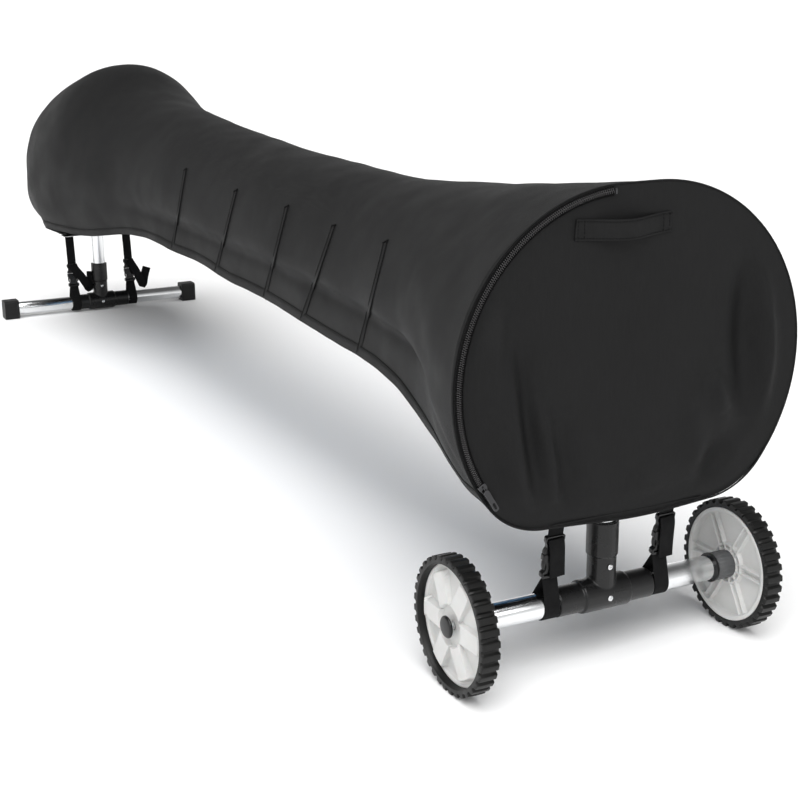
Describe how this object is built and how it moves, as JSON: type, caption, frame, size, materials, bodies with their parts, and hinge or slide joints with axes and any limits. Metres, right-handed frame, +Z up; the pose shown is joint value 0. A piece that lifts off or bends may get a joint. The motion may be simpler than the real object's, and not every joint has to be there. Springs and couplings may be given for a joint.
{
  "type": "pool cover reel",
  "caption": "Pool cover reel on two tee stands, one with wheels, its rolled blanket under a zipped storage sleeve that is buckled to the stands with straps.",
  "frame": {"origin": "centre of the bottom of the bounding box, on the ground", "axes": "+X along the reel towards the wheeled stand, +Z up, so +Y is on the right of someone who faces the wheeled end; left and right in node names are as that person sees them"},
  "size_m": [2.7959, 0.584, 0.7427],
  "materials": {
    "black_plastic": "moulded satin black, light mould texture",
    "buckle_plastic": "moulded acetal, low sheen",
    "white_plastic": "moulded white, soft gloss",
    "bush_plastic": "grey bearing plastic",
    "tyre_rubber": "black ribbed tread",
    "cap_rubber": "matte black foot cap",
    "aluminium_tube": "polished drawn tube",
    "steel": "zinc plated fasteners",
    "oxford_cloth": "coated woven polyester, faint sheen",
    "webbing": "ribbed polypropylene webbing",
    "zip_nylon": "nylon coil zip",
    "zip_metal": "black nickel slider",
    "bubble_film": "translucent blue bubble blanket, wound"
  },
  "bodies": {
    "frame": {"near_tee": "black_plastic", "near_post": "aluminium_tube", "near_bearing_housing": "black_plastic", "near_bearing_bush": "bush_plastic", "near_screw_lower": "steel", "near_screw_upper": "steel", "far_tee": "black_plastic", "far_post": "aluminium_tube", "far_bearing_housing": "black_plastic", "far_bearing_bush": "bush_plastic", "far_screw_lower": "steel", "far_screw_upper": "steel", "near_axle_tube": "aluminium_tube", "far_foot_tube": "aluminium_tube", "far_foot_cap_left": "cap_rubber", "far_foot_cap_right": "cap_rubber", "axle_rod": "steel", "left_axle_bush": "bush_plastic", "right_axle_bush": "bush_plastic", "near_left_strap_loop": "webbing", "near_left_buckle_socket": "buckle_plastic", "near_right_strap_loop": "webbing", "near_right_buckle_socket": "buckle_plastic", "far_left_strap_loop": "webbing", "far_left_buckle_socket": "buckle_plastic", "far_right_strap_loop": "webbing", "far_right_buckle_socket": "buckle_plastic"},
    "left_wheel": {"left_tyre": "tyre_rubber", "left_wheel_disc": "white_plastic", "left_hub_cap": "black_plastic"},
    "right_wheel": {"right_tyre": "tyre_rubber", "right_wheel_disc": "white_plastic", "right_hub_cap": "black_plastic"},
    "reel": {"reel_tube_middle": "aluminium_tube", "reel_tube_near": "aluminium_tube", "reel_tube_far": "aluminium_tube", "near_end_plug": "black_plastic", "far_end_plug": "black_plastic", "near_hand_wheel": "black_plastic", "far_hand_wheel": "black_plastic", "near_shaft_bolt": "steel", "far_shaft_bolt": "steel", "blanket_roll": "bubble_film"},
    "cover": {"cover_sleeve": "oxford_cloth", "near_end_panel": "oxford_cloth", "far_end_panel": "oxford_cloth", "cover_handle": "oxford_cloth", "zip_tape": "zip_nylon", "zip_coil": "zip_nylon", "near_left_upper_strap": "webbing", "near_left_buckle_prong": "buckle_plastic", "near_right_upper_strap": "webbing", "near_right_buckle_prong": "buckle_plastic", "far_left_upper_strap": "webbing", "far_left_buckle_prong": "buckle_plastic", "far_right_upper_strap": "webbing", "far_right_buckle_prong": "buckle_plastic"},
    "zip_slider": {"zip_slider": "zip_metal"},
    "zip_pull": {"zip_pull": "zip_metal"}
  },
  "joints": [
    {"name": "left_wheel_spin", "type": "hinge", "parent": "frame", "child": "left_wheel", "pos_m": [1.298, -0.241, 0.1], "axis": [0, 1, 0], "continuous": true},
    {"name": "right_wheel_spin", "type": "hinge", "parent": "frame", "child": "right_wheel", "pos_m": [1.298, 0.241, 0.1], "axis": [0, 1, 0], "continuous": true},
    {"name": "reel_spin", "type": "hinge", "parent": "frame", "child": "reel", "pos_m": [0, 0, 0.468], "axis": [1, 0, 0], "continuous": true},
    {"name": "cover_lift_off", "type": "slide", "parent": "frame", "child": "cover", "axis": [0, 0, 1], "range_m": [0, 0.5]},
    {"name": "zip_slider_travel", "type": "hinge", "parent": "cover", "child": "zip_slider", "pos_m": [1.3653, -0.026, 0.448], "axis": [-1, 0, 0], "range_deg": [0, 114]},
    {"name": "zip_pull_flip", "type": "hinge", "parent": "zip_slider", "child": "zip_pull", "pos_m": [1.3713, -0.23854, 0.31924], "axis": [0, -0.8572, -0.515], "range_deg": [0, 165]}
  ]
}
